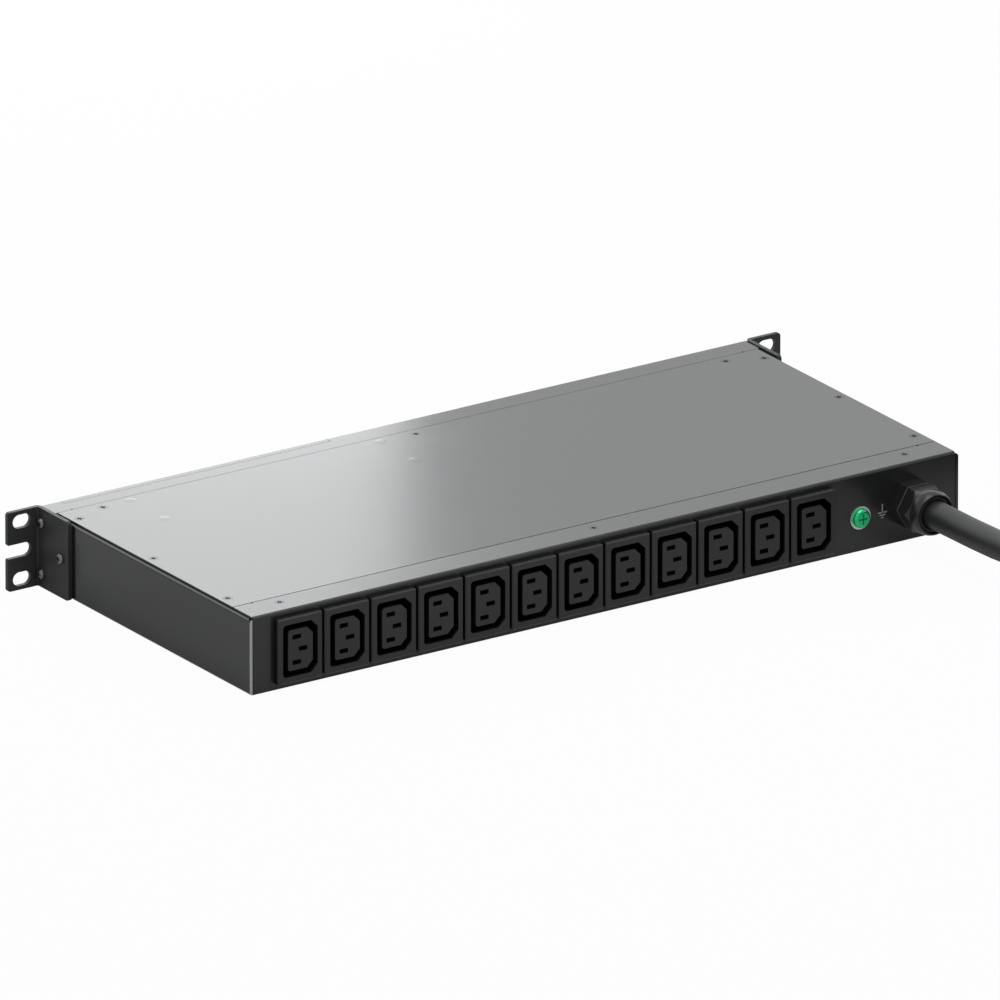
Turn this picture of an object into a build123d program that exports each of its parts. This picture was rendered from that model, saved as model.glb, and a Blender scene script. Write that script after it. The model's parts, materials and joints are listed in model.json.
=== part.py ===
from build123d import *
import math
import os

# Rack power distribution unit, one rack unit high, with twelve outlets in its rear panel.
# Millimetres. +X is the unit's right side seen from the front, +Y points to the rear and +Z up.
# The origin lies in the front plane of the rack ears, midway between their mounting slots.

os.makedirs("parts", exist_ok=True)

# Width over the rack ears, from the 19 inch standard, and how far each ear stands out
rack_width = 482.6
ear_reach = 20.95

# Folded steel body
body_width = rack_width - 2 * ear_reach
body_depth = 198.0
body_height = 42.6
chassis_sheet = 1.6
cover_sheet = 1.2
bend_radius = 1.6
panel_gap = 0.4
seam_gap = 0.3
rear_seam_gap = 0.6
ledge_width = 11.0
front_strip = 14.4
rear_strip = 18.5
lip_reach = 5.0
lip_overlap = 2.0
floor_lip_height = 4.1
front_relief_inset = 11.1
rear_relief_inset = 13.2
relief_radius = 0.8
corner_relief_radius = 1.1
corner_relief_inset = 1.4

# Blank fascia let into the front wall
fascia_inset = 12.6
fascia_length = 164.7
fascia_bottom = -17.0
fascia_lip = 5.0
fascia_wall = 1.6
fascia_gap = 0.25
clip_width = 12.0
clip_height = 2.5

# Rack ears
ear_height = 43.66
ear_sheet = 2.25
ear_arm = 31.0
ear_inner_bend = 0.8
ear_corner = 1.75
ear_mouth_corner = 0.8
arm_corner = 2.0
slot_length = 11.0
slot_width = 7.5
slot_edge = 8.75
slot_spacing = 31.75
open_slot_reach = 14.5

# Screws
thread_clearance = 0.05
hole_clearance = 0.2
cover_thread = 2.9
cover_head = 5.3
cover_screw_length = 4.6
cover_recess_depth = 0.95
side_screw_inset = 6.8
side_screw_front = 28.0
side_screw_rear = 31.0
end_screw_inset = 26.0
front_screw_row = 20.7
rear_screw_edge = 11.5
bracket_thread = 2.9
bracket_head = 5.6
bracket_head_height = 2.1
bracket_head_rounding = 1.3
bracket_recess_depth = 1.1
bracket_screw_rows = ((6.1, 14.0), (6.1, -14.0), (24.2, 0.0))
bracket_screw_length = 6.5
recess_width = 0.8
recess_share = 0.28

# Outlets
outlet_count = 12
outlet_pitch = 29.0
bank_inset = 14.9
flange_width = 27.6
flange_height = 35.9
flange_corner = 1.0
flange_bevel = 0.6
outlet_proud = 3.8
housing_width = 25.2
housing_height = 32.6
housing_depth = 24.0
housing_clearance = 0.2
lug_reach = 1.1
lug_height = 9.0
lug_run = 5.0
groove_width = 21.4
groove_height = 28.8
groove_cut = 4.2
groove_corner = 2.0
groove_depth = 16.5
core_width = 15.2
core_height = 22.3
core_cut = 3.6
core_corner = 1.5
pin_slot_width = 5.3
pin_slot_height = 2.5
phase_spacing = 14.0
phase_offset = -2.3
earth_offset = 1.6
contact_play = 0.1
contact_wall = 0.4
contact_set_back = 7.0
contact_length = 15.0
tail_width = 4.0
tail_sheet = 0.8
tail_stick_out = 1.0

# Bars and leads behind the outlets
bar_sheet = 1.2
bar_width = 6.0
bar_end_margin = 6.0
bar_slot_clearance = 0.1
earth_bar_stand_off = 6.4
phase_bar_end_margin = 6.0
phase_screw_offset = 7.65
earth_bar_screw_offset = 16.65
riser_offset = 7.65
foot_radius = 5.5
foot_overrun = 5.5
lug_sheet = 1.0
lug_width = 7.0
lug_barrel_x = 8.0
bar_thread = 3.4
bar_head = 6.2
bar_head_height = 2.2
bar_head_rounding = 0.7
bar_recess_depth = 1.1
bar_screw_length = 5.0
core_diameter = 4.6
core_circle = 3.0
core_bend = 5.0
core_straight = 15.0

# Earth screw beside the outlets
earth_inset = 61.95
earth_z = -2.6
earth_thread = 4.9
earth_head = 10.4
earth_head_height = 2.7
earth_head_rounding = 1.9
earth_recess_depth = 1.6
earth_screw_length = 11.0
earth_washer_width = 12.6
earth_washer_sheet = 1.0
earth_nut_width = 8.0
earth_nut_height = 4.0

# Cable gland
gland_inset = 31.05
gland_thread = 20.0
gland_bore = 16.2
gland_hex = 23.0
gland_edge = 0.5
gland_neck = 19.6
gland_body_length = 8.6
gland_nut_gap = 0.4
gland_nut_end = 25.0
gland_base_bevel = 1.2
gland_corner_clearance = 0.1
gland_cone_start = 15.0
gland_hex_end = 18.0
collar_root = 11.2
collar_start = 17.2
collar_radius = 12.2
collar_full = 18.8
collar_shoulder_radius = 12.0
collar_shoulder = 22.2
collar_end_radius = 11.0
gland_rim_hole = 20.6
gland_neck_end = 15.4
gland_seal_end = 24.2
gland_seal_corner = 0.6
gland_flare = 2.7
gland_inner_end = 10.0
locknut_width = 24.0
locknut_height = 5.0

# Cord, coil and plug
cord_diameter = 15.6
cord_play = 0.05
sheath_inset = 1.0
cord_first_reach = 74.0
cord_second_reach = 108.0
cord_third_reach = 116.0
cord_drift = 2.1
cord_far_drift = 2.6
tie_sheet = 1.4
tie_width = 16.0
tie_lap = 1.0
coil_middle_diameter = 162.0
coil_layers = 3
coil_corner = 6.5
coil_slack = 0.3
entry_stub = 54.0
exit_stub = 54.0
tail_length = 42.0
plug_nut_length = 26.0
plug_nut_radius = 17.5
plug_nut_taper = 5.0
plug_nut_gap = 0.5
plug_nut_play = 0.5
grip_groove_count = 16
grip_groove_radius = 1.0
grip_groove_depth = 0.6
grip_groove_start = 7.0
plug_thread_start = 12.0
plug_thread_radius = 14.0
plug_body_end = 95.0
plug_body_radius = 26.5
plug_shoulder_radius = 19.0
plug_waist_radius = 23.5
plug_waist = 55.0
plug_edge = 1.0
plug_collar_radius = 32.0
plug_collar = 9.0
plug_base = 13.0
plug_length = 147.0
shroud_radius = 28.5
shroud_wall = 3.5
key_width = 6.0
key_height = 2.0
pin_circle = 14.8
pin_length = 35.0
phase_pin_radius = 3.0
earth_pin_radius = 4.0

# Board hung from the cover behind the fascia
board_inset = 43.5
board_hole_pitch = 155.2
board_front_y = 20.0
board_rear_y = 52.0
standoff_width = 5.0
standoff_height = 10.0
board_sheet = 1.6
board_margin = 8.0
board_corner = 2.0
standoff_notch = 9.0

# Levels and faces that follow from the sizes above
top = body_height / 2
bottom = -top
side = body_width / 2
gland_x = gland_inset - side
earth_x = earth_inset - side
bank_centre = side - bank_inset - (outlet_pitch * (outlet_count - 1) + flange_width) / 2
fascia_far_end = side - fascia_inset
fascia_near_end = fascia_far_end - fascia_length
board_far_x = side - board_inset
board_near_x = board_far_x - board_hole_pitch
board_columns = (board_near_x, board_far_x)
floor_top = bottom + chassis_sheet
ledge_top = top - cover_sheet
wall_inner = side - chassis_sheet
cover_half_width = wall_inner - panel_gap
panel_inner = body_depth - cover_sheet
cover_front = front_strip + seam_gap
cover_rear = body_depth - rear_strip - rear_seam_gap
rear_screw_row = body_depth - rear_screw_edge
resting_level = -ear_height / 2
ear_tip = rack_width / 2
arm_outer = side + ear_sheet
standoff_points = [(x, y) for x in board_columns for y in (board_front_y, board_rear_y)]
side_columns = (side_screw_inset - side, side - side_screw_inset)
last_side_row = body_depth - side_screw_rear
side_screw_rows = (side_screw_front, (side_screw_front + last_side_row) / 2, last_side_row)
side_screws = [(x, y) for x in side_columns for y in side_screw_rows]
end_columns = (end_screw_inset - side, 0.0, side - end_screw_inset)
front_screws = [(x, front_screw_row) for x in end_columns]
rear_screws = [(x, rear_screw_row) for x in end_columns]
countersink_radius = cover_head / 2 + thread_clearance
cover_hole_radius = cover_thread / 2 + thread_clearance
screw_hole_angle = 90

# The tray is one folded sheet: floor, side walls with a ledge for the cover, front wall with a
# strip folded back from it, and a low lip up behind the rear panel.
with BuildPart() as chassis_tray:
    with BuildSketch(Plane.XZ.offset(-bend_radius)) as tray_section:
        with Locations((0, (bottom + ledge_top) / 2)):
            Rectangle(body_width, ledge_top - bottom)
        fillet(tray_section.vertices(), bend_radius)
        with Locations((0, (floor_top + ledge_top - chassis_sheet) / 2)):
            Rectangle(2 * wall_inner, ledge_top - chassis_sheet - floor_top, mode=Mode.SUBTRACT)
        with Locations((0, ledge_top)):
            Rectangle(body_width - 2 * ledge_width, 2 * chassis_sheet, mode=Mode.SUBTRACT)
    extrude(amount=bend_radius - body_depth)
    with BuildSketch(Plane.YZ.offset(-side)) as front_section:
        with BuildLine():
            Polyline(
                (0, bottom),
                (chassis_sheet, bottom),
                (chassis_sheet, top - chassis_sheet),
                (front_strip, top - chassis_sheet),
                (front_strip, top),
                (0, top),
                close=True,
            )
        make_face()
        fillet(front_section.vertices().group_by(Axis.X)[0], bend_radius)
    extrude(amount=body_width)
    # Welded ends of the front strip
    for end in (-side, wall_inner):
        with BuildSketch(Plane.YZ.offset(end)):
            with Locations((bend_radius, 0)):
                Rectangle(front_strip - bend_radius, top, align=(Align.MIN, Align.MIN))
        extrude(amount=chassis_sheet)
    # Lip one sheet below the strip, on which the cover's front edge lies
    with BuildSketch(Plane.XY.offset(ledge_top)):
        with Locations((0, front_strip - lip_overlap)):
            Rectangle(
                2 * (side - front_relief_inset),
                front_screw_row + lip_reach - front_strip + lip_overlap,
                align=(Align.CENTER, Align.MIN),
            )
        with Locations(*[(x, board_front_y - standoff_notch / 2) for x in board_columns]):
            Rectangle(
                standoff_notch,
                lip_reach + standoff_notch,
                align=(Align.CENTER, Align.MIN),
                mode=Mode.SUBTRACT,
            )
    extrude(amount=-chassis_sheet)
    # Room for the rear panel, and the floor's lip against its inner face
    with BuildSketch(Plane.XZ.offset(-body_depth)):
        Rectangle(2 * wall_inner, 2 * ear_height)
    extrude(amount=cover_sheet, mode=Mode.SUBTRACT)
    with BuildSketch(Plane.XZ.offset(-panel_inner)):
        with Locations((0, bottom)):
            Rectangle(2 * wall_inner, floor_lip_height, align=(Align.CENTER, Align.MIN))
    extrude(amount=chassis_sheet)
    # Relief holes at the corners of the folds
    with BuildSketch(Plane.XY.offset(top)):
        for hand in (-1, 1):
            with Locations((hand * (side - front_relief_inset), front_strip)):
                Circle(relief_radius)
            with Locations((hand * (side - corner_relief_inset), panel_inner)):
                Circle(corner_relief_radius)
    extrude(amount=-2 * chassis_sheet, mode=Mode.SUBTRACT)
    # Window and notch for the fascia
    with BuildSketch(Plane.YZ.offset(fascia_near_end - fascia_gap)):
        with Locations((0, fascia_bottom - fascia_gap)):
            Rectangle(fascia_lip + fascia_gap, body_height, align=(Align.MIN, Align.MIN))
    extrude(amount=fascia_far_end - fascia_near_end + 2 * fascia_gap, mode=Mode.SUBTRACT)
    # Threaded holes for the cover and the ears
    with BuildSketch(Plane.XY.offset(ledge_top)):
        with Locations(*side_screws, *front_screws):
            Circle(cover_hole_radius)
    extrude(amount=-chassis_sheet, mode=Mode.SUBTRACT)
    for wall in (-side, wall_inner):
        with BuildSketch(Plane.YZ.offset(wall)):
            with Locations(*bracket_screw_rows):
                Circle(bracket_thread / 2 + thread_clearance)
        extrude(amount=chassis_sheet, mode=Mode.SUBTRACT)
chassis_tray.part.label = "chassis_tray"
export_step(chassis_tray.part, "parts/chassis_tray.step")

# The rear panel's face stands between the side walls, and its top is folded forward as a strip.
with BuildPart() as rear_panel:
    with BuildSketch(Plane.YZ.offset(-cover_half_width)) as panel_section:
        with BuildLine():
            Polyline(
                (panel_inner, bottom),
                (body_depth, bottom),
                (body_depth, top),
                (body_depth - rear_strip, top),
                (body_depth - rear_strip, ledge_top),
                (panel_inner, ledge_top),
                close=True,
            )
        make_face()
        fillet(panel_section.vertices().group_by(Axis.Y)[-1].sort_by(Axis.X)[-1], bend_radius)
    extrude(amount=2 * cover_half_width)
    with BuildSketch(Plane.XZ.offset(-body_depth)):
        with Locations((bank_centre, 0)):
            with GridLocations(outlet_pitch, 1, outlet_count, 1):
                RectangleRounded(
                    housing_width + 2 * housing_clearance,
                    housing_height + 2 * housing_clearance,
                    flange_corner,
                )
        with Locations((gland_x, 0)):
            Circle(gland_thread / 2 + hole_clearance)
        with Locations((earth_x, earth_z)):
            Circle(earth_thread / 2 + hole_clearance)
    extrude(amount=cover_sheet, mode=Mode.SUBTRACT)
    with Locations(*[(x, y, top) for x, y in rear_screws]):
        CounterSinkHole(cover_hole_radius, countersink_radius, 2 * cover_sheet, screw_hole_angle)
    with BuildSketch(Plane.XY.offset(top)):
        for hand in (-1, 1):
            with Locations((hand * (side - rear_relief_inset), body_depth - rear_strip)):
                Circle(relief_radius)
    extrude(amount=-cover_sheet, mode=Mode.SUBTRACT)
rear_panel.part.label = "rear_panel"
export_step(rear_panel.part, "parts/rear_panel.step")

# The cover lies on the ledges. Its rear lip is set down by one sheet to pass under the rear strip.
with BuildPart() as top_cover:
    with BuildSketch(Plane.XY.offset(top)):
        with Locations((0, cover_front)):
            Rectangle(2 * cover_half_width, cover_rear - cover_front, align=(Align.CENTER, Align.MIN))
    extrude(amount=-cover_sheet)
    with BuildSketch(Plane.XY.offset(ledge_top)):
        with Locations((0, cover_rear - lip_overlap)):
            Rectangle(
                2 * (side - rear_relief_inset),
                rear_screw_row + lip_reach - cover_rear + lip_overlap,
                align=(Align.CENTER, Align.MIN),
            )
    extrude(amount=-cover_sheet)
    with BuildSketch(Plane.XY.offset(ledge_top)):
        with Locations(*rear_screws):
            Circle(cover_hole_radius)
    extrude(amount=-cover_sheet, mode=Mode.SUBTRACT)
    with Locations(*[(x, y, top) for x, y in side_screws + front_screws]):
        CounterSinkHole(cover_hole_radius, countersink_radius, 2 * cover_sheet, screw_hole_angle)
top_cover.part.label = "top_cover"
export_step(top_cover.part, "parts/top_cover.step")

# The blank fascia closes the front window, laps onto the top strip and clips in behind the wall.
with BuildPart() as front_fascia:
    with BuildSketch(Plane.YZ.offset(fascia_near_end)) as fascia_section:
        with BuildLine():
            Polyline(
                (0, fascia_bottom),
                (fascia_wall, fascia_bottom),
                (fascia_wall, top - fascia_wall),
                (fascia_lip, top - fascia_wall),
                (fascia_lip, top),
                (0, top),
                close=True,
            )
        make_face()
        fillet(fascia_section.vertices().group_by(Axis.Y)[-1].sort_by(Axis.X)[0], bend_radius)
    extrude(amount=fascia_far_end - fascia_near_end)
    # Clips behind the sill of the window, and behind the strip
    fascia_middle = (fascia_near_end + fascia_far_end) / 2
    clip_columns = (fascia_near_end + clip_width, fascia_middle, fascia_far_end - clip_width)
    with BuildSketch(Plane.XZ.offset(-chassis_sheet)):
        with Locations(*[(x, fascia_bottom - clip_height) for x in clip_columns]):
            Rectangle(clip_width, 2 * clip_height, align=(Align.CENTER, Align.MIN))
    extrude(amount=-fascia_wall)
    with BuildSketch(Plane.XY.offset(top - chassis_sheet)):
        with Locations(*[(x, chassis_sheet) for x in clip_columns]):
            Rectangle(
                clip_width,
                fascia_lip + clip_height - chassis_sheet,
                align=(Align.CENTER, Align.MIN),
            )
    extrude(amount=-fascia_wall)
front_fascia.part.label = "front_fascia"
export_step(front_fascia.part, "parts/front_fascia.step")

# Each rack ear is a folded angle with two closed slots and an open one between them.
slot_centre = ear_tip - slot_edge
with BuildPart() as right_bracket:
    with BuildSketch(Plane.XY.offset(resting_level)) as ear_section:
        with BuildLine():
            Polyline(
                (side, 0),
                (ear_tip, 0),
                (ear_tip, ear_sheet),
                (arm_outer, ear_sheet),
                (arm_outer, ear_arm),
                (side, ear_arm),
                close=True,
            )
        make_face()
        fillet(ear_section.vertices().sort_by_distance((arm_outer, ear_sheet))[0], ear_inner_bend)
        fillet(ear_section.vertices().sort_by_distance((side, 0))[0], ear_inner_bend + ear_sheet)
    extrude(amount=ear_height)
    with BuildSketch(Plane.XZ):
        with Locations((slot_centre, -slot_spacing / 2), (slot_centre, slot_spacing / 2)):
            SlotOverall(slot_length, slot_width)
        with Locations((ear_tip, 0)):
            SlotOverall(2 * open_slot_reach, slot_width)
    extrude(amount=-ear_sheet, mode=Mode.SUBTRACT)
    with BuildSketch(Plane.YZ.offset(side)):
        with Locations(*bracket_screw_rows):
            Circle(bracket_thread / 2 + hole_clearance)
    extrude(amount=ear_sheet, mode=Mode.SUBTRACT)
    tip_edges = right_bracket.edges().filter_by(Axis.Y).group_by(Axis.X)[-1].sort_by(Axis.Z)
    fillet(tip_edges[1:3], ear_mouth_corner)
    tip_edges = right_bracket.edges().filter_by(Axis.Y).group_by(Axis.X)[-1].sort_by(Axis.Z)
    fillet([tip_edges[0], tip_edges[-1]], ear_corner)
    fillet(right_bracket.edges().filter_by(Axis.X).group_by(Axis.Y)[-1], arm_corner)
right_bracket.part.label = "right_bracket"
export_step(right_bracket.part, "parts/right_bracket.step")

with BuildPart() as left_bracket:
    mirror(right_bracket.part, about=Plane.YZ)
left_bracket.part.label = "left_bracket"
export_step(left_bracket.part, "parts/left_bracket.step")


def cross_recess(level, reach):
    """Cross for the driver, drawn at the level of a screw head's top."""
    with BuildSketch(Plane.XY.offset(level)) as cross:
        Rectangle(2 * reach, recess_width)
        Rectangle(recess_width, 2 * reach)
    return cross.sketch


# Pan-head screw standing on the plane z = 0
with BuildPart() as pan_screw:
    with BuildSketch():
        Circle(bracket_head / 2)
    extrude(amount=bracket_head_height)
    fillet(pan_screw.edges().sort_by(Axis.Z)[-1], bracket_head_rounding)
    with BuildSketch():
        Circle(bracket_thread / 2)
    extrude(amount=-bracket_screw_length)
    cross = cross_recess(bracket_head_height, recess_share * bracket_head)
    extrude(cross, amount=-bracket_recess_depth, mode=Mode.SUBTRACT)

for sign, name in ((1, "right_bracket_screws"), (-1, "left_bracket_screws")):
    with BuildPart() as bracket_screws:
        for y, z in bracket_screw_rows:
            seat = Plane(origin=(sign * arm_outer, y, z), x_dir=(0, 0, 1), z_dir=(sign, 0, 0))
            with Locations(seat):
                add(pan_screw.part)
    bracket_screws.part.label = name
    export_step(bracket_screws.part, f"parts/{name}.step")

# Countersunk screw with its head's top in the plane z = 0
cover_head_depth = (cover_head - cover_thread) / 2
with BuildPart() as flat_screw:
    with BuildSketch(Plane.XZ):
        with BuildLine():
            Polyline(
                (0, 0),
                (cover_head / 2, 0),
                (cover_thread / 2, -cover_head_depth),
                (cover_thread / 2, -cover_screw_length),
                (0, -cover_screw_length),
                close=True,
            )
        make_face()
    revolve(axis=Axis.Z)
    cross = cross_recess(0, recess_share * cover_head)
    extrude(cross, amount=-cover_recess_depth, mode=Mode.SUBTRACT)

with BuildPart() as cover_screws:
    with Locations(*[(x, y, top) for x, y in side_screws + front_screws + rear_screws]):
        add(flat_screw.part)
cover_screws.part.label = "cover_screws"
export_step(cover_screws.part, "parts/cover_screws.step")


def keyed_outline(width, height, cut, corner):
    """Outline of the mating face: a rectangle with the two corners on the earth side cut off."""
    with BuildSketch() as outline:
        Rectangle(width, height)
        chamfer(outline.vertices().group_by(Axis.X)[-1], cut)
        fillet(outline.vertices().group_by(Axis.X)[0], corner)
    return outline.sketch


def rear_plane(x, z, y=body_depth):
    """Plane on the rear panel, seen from behind: x to the right, y up, z out of the panel."""
    return Plane(origin=(x, y, z), x_dir=(-1, 0, 0), z_dir=(0, 1, 0))


# Outlet, drawn as seen from behind with the panel's face at z = 0. Its housing has a proud flange, a
# body through the panel with a snap lug on each side, and a deep keyed hollow. The core is moulded by
# itself and stands on the floor of the hollow, so that a groove is left round it.
groove_outline = keyed_outline(groove_width, groove_height, groove_cut, groove_corner)
core_outline = keyed_outline(core_width, core_height, core_cut, core_corner)
phase_points = [(phase_offset, phase_spacing / 2), (phase_offset, -phase_spacing / 2)]
earth_point = (earth_offset, 0)
with BuildSketch(Plane.XY.offset(outlet_proud)) as pin_slots:
    with Locations(*phase_points, earth_point):
        Rectangle(pin_slot_width, pin_slot_height)
with BuildPart() as housing_model:
    with BuildSketch():
        RectangleRounded(flange_width, flange_height, flange_corner)
    extrude(amount=outlet_proud)
    chamfer(housing_model.faces().sort_by(Axis.Z)[-1].edges(), flange_bevel)
    with BuildSketch():
        RectangleRounded(housing_width, housing_height, flange_corner)
    extrude(amount=-housing_depth)
    with BuildSketch(Plane.XZ.offset(-lug_height / 2)):
        for hand in (-1, 1):
            with BuildLine():
                Polyline(
                    (hand * housing_width / 2, -cover_sheet),
                    (hand * (housing_width / 2 + lug_reach), -cover_sheet),
                    (hand * housing_width / 2, -cover_sheet - lug_run),
                    close=True,
                )
            make_face()
    extrude(amount=lug_height)
    with BuildSketch(Plane.XY.offset(outlet_proud)):
        add(groove_outline)
    extrude(amount=-groove_depth, mode=Mode.SUBTRACT)
    extrude(pin_slots.sketch, amount=-outlet_proud - housing_depth, mode=Mode.SUBTRACT)
with BuildPart() as core_model:
    with BuildSketch(Plane.XY.offset(outlet_proud)):
        add(core_outline)
    extrude(amount=-groove_depth)
    extrude(pin_slots.sketch, amount=-groove_depth, mode=Mode.SUBTRACT)

# Female contacts: a sleeve set back in its slot, and a flat tail through the bar behind
sleeve_front = outlet_proud - contact_set_back
phase_tail_end = -housing_depth - bar_sheet - tail_stick_out
earth_tail_end = phase_tail_end - earth_bar_stand_off
contact_models = []
for tail_end in (phase_tail_end, earth_tail_end):
    with BuildPart() as contact_model:
        with BuildSketch(Plane.XY.offset(sleeve_front)):
            Rectangle(pin_slot_width - contact_play, pin_slot_height - contact_play)
        extrude(amount=-contact_length)
        with BuildSketch(Plane.XY.offset(sleeve_front)):
            Rectangle(
                pin_slot_width - contact_play - 2 * contact_wall,
                pin_slot_height - contact_play - 2 * contact_wall,
            )
        extrude(amount=contact_wall - contact_length, mode=Mode.SUBTRACT)
        with BuildSketch(Plane.XY.offset(sleeve_front - contact_length)):
            Rectangle(tail_width, tail_sheet)
        extrude(amount=tail_end - sleeve_front + contact_length)
    contact_models.append(contact_model.part)
phase_contact, earth_contact = contact_models

outlet_columns = [bank_centre + outlet_pitch * ((outlet_count - 1) / 2 - k) for k in range(outlet_count)]
for number, outlet_x in enumerate(outlet_columns, start=1):
    outlet = Compound(
        [rear_plane(outlet_x, 0).location * model.part.solid() for model in (housing_model, core_model)]
    )
    outlet.label = f"outlet_{number:02d}"
    export_step(outlet, f"parts/outlet_{number:02d}.step")
    with BuildPart() as outlet_contacts:
        with Locations(*[rear_plane(outlet_x - across, up) for across, up in phase_points]):
            add(phase_contact)
        with Locations(rear_plane(outlet_x - earth_offset, 0)):
            add(earth_contact)
    outlet_contacts.part.label = f"outlet_{number:02d}_contacts"
    export_step(outlet_contacts.part, f"parts/outlet_{number:02d}_contacts.step")

# The live and neutral bars lie on the backs of the outlets, with a slot for every tail.
phase_bar_back = body_depth - housing_depth
phase_bar_front = phase_bar_back - bar_sheet
first_column = outlet_columns[0]
phase_bar_start = first_column - phase_offset + bar_end_margin
phase_screw_x = earth_x + phase_screw_offset
phase_bar_end = phase_screw_x - phase_bar_end_margin
for name, bar_z in (("live_bar", phase_spacing / 2), ("neutral_bar", -phase_spacing / 2)):
    with BuildPart() as phase_bar:
        with BuildSketch(Plane.XZ.offset(-phase_bar_back)):
            with Locations((phase_bar_end, bar_z)):
                Rectangle(phase_bar_start - phase_bar_end, bar_width, align=(Align.MIN, Align.CENTER))
            with Locations((bank_centre - phase_offset, bar_z)):
                with GridLocations(outlet_pitch, 1, outlet_count, 1):
                    Rectangle(
                        tail_width + 2 * bar_slot_clearance,
                        tail_sheet + 2 * bar_slot_clearance,
                        mode=Mode.SUBTRACT,
                    )
            with Locations((phase_screw_x, bar_z)):
                Circle(bar_thread / 2 + thread_clearance, mode=Mode.SUBTRACT)
        extrude(amount=bar_sheet)
    phase_bar.part.label = name
    export_step(phase_bar.part, f"parts/{name}.step")

# The earth bar stands off behind them. Its end is folded back to the panel, onto the earth screw.
earth_bar_back = phase_bar_back - earth_bar_stand_off
earth_bar_front = earth_bar_back - bar_sheet
earth_foot_front = panel_inner - bar_sheet
earth_foot_end = earth_x - foot_overrun
riser_x = earth_x + riser_offset
earth_bar_screw_x = earth_x + earth_bar_screw_offset
with BuildPart() as earth_bar:
    with BuildSketch(Plane.XY.offset(-bar_width / 2)) as earth_bar_section:
        with BuildLine():
            Polyline(
                (first_column + bar_end_margin, earth_bar_front),
                (riser_x - bar_sheet, earth_bar_front),
                (riser_x - bar_sheet, earth_foot_front),
                (earth_foot_end, earth_foot_front),
                (earth_foot_end, panel_inner),
                (riser_x, panel_inner),
                (riser_x, earth_bar_back),
                (first_column + bar_end_margin, earth_bar_back),
                close=True,
            )
        make_face()
        for bend in ((riser_x - bar_sheet, earth_bar_front), (riser_x, panel_inner)):
            fillet(earth_bar_section.vertices().sort_by_distance(bend)[0], bar_sheet)
    extrude(amount=bar_width)
    with BuildSketch(Plane.XZ.offset(-panel_inner)):
        with Locations((earth_x, earth_z)):
            Circle(foot_radius)
    extrude(amount=bar_sheet)
    with BuildSketch(Plane.XZ.offset(-panel_inner)):
        with Locations((earth_x, earth_z)):
            Circle(earth_thread / 2 + hole_clearance)
    extrude(amount=bar_sheet, mode=Mode.SUBTRACT)
    with BuildSketch(Plane.XZ.offset(-earth_bar_back)):
        with Locations((bank_centre - earth_offset, 0)):
            with GridLocations(outlet_pitch, 1, outlet_count, 1):
                Rectangle(tail_width + 2 * bar_slot_clearance, tail_sheet + 2 * bar_slot_clearance)
        with Locations((earth_bar_screw_x, 0)):
            Circle(bar_thread / 2 + thread_clearance)
    extrude(amount=bar_sheet, mode=Mode.SUBTRACT)
earth_bar.part.label = "earth_bar"
export_step(earth_bar.part, "parts/earth_bar.step")

# The sheath of the cord ends inside the gland, and its three cores run on to the bars. Each core
# ends in a crimped lug that lies flat on its bar.
sheath_end = body_depth - sheath_inset
core_radius = core_diameter / 2
core_spread = core_circle * math.sin(math.radians(60))
phase_core_x = gland_x + core_circle / 2
earth_core_x = gland_x - core_circle
core_runs = (
    ("live_lead", phase_core_x, core_spread, phase_bar_front, phase_spacing / 2, phase_screw_x),
    ("neutral_lead", phase_core_x, -core_spread, phase_bar_front, -phase_spacing / 2, phase_screw_x),
    ("earth_lead", earth_core_x, 0.0, earth_bar_front, 0.0, earth_bar_screw_x),
)
for name, core_x, core_z, bar_front, bar_z, screw_x in core_runs:
    wire_y = bar_front - core_radius
    corners = [
        (core_x, sheath_end, core_z),
        (core_x, sheath_end - core_straight, core_z),
        (core_x, wire_y, bar_z),
        (screw_x - lug_barrel_x, wire_y, bar_z),
    ]
    if core_z == bar_z:
        corners.pop(1)
    with BuildPart() as lead:
        with BuildLine():
            core_path = FilletPolyline(*corners, radius=core_bend)
        with BuildSketch(Plane(origin=core_path @ 0, z_dir=core_path % 0)):
            Circle(core_radius)
        sweep(path=core_path)
        with BuildSketch(Plane.XZ.offset(-bar_front)):
            with Locations((screw_x + lug_width / 2, bar_z)):
                Rectangle(2 * lug_width + lug_barrel_x, lug_width, align=(Align.MAX, Align.CENTER))
            with Locations((screw_x, bar_z)):
                Circle(bar_thread / 2 + hole_clearance, mode=Mode.SUBTRACT)
        extrude(amount=lug_sheet)
    lead.part.label = name
    export_step(lead.part, f"parts/{name}.step")

with BuildPart() as bar_screw:
    with BuildSketch():
        Circle(bar_head / 2)
    extrude(amount=bar_head_height)
    fillet(bar_screw.edges().sort_by(Axis.Z)[-1], bar_head_rounding)
    with BuildSketch():
        Circle(bar_thread / 2)
    extrude(amount=-bar_screw_length)
    cross = cross_recess(bar_head_height, recess_share * bar_head)
    extrude(cross, amount=-bar_recess_depth, mode=Mode.SUBTRACT)

with BuildPart() as bar_screws:
    for _, _, _, bar_front, bar_z, screw_x in core_runs:
        lug_face = bar_front - lug_sheet
        with Locations(Plane(origin=(screw_x, lug_face, bar_z), x_dir=(1, 0, 0), z_dir=(0, -1, 0))):
            add(bar_screw.part)
bar_screws.part.label = "bar_screws"
export_step(bar_screws.part, "parts/bar_screws.step")

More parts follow.
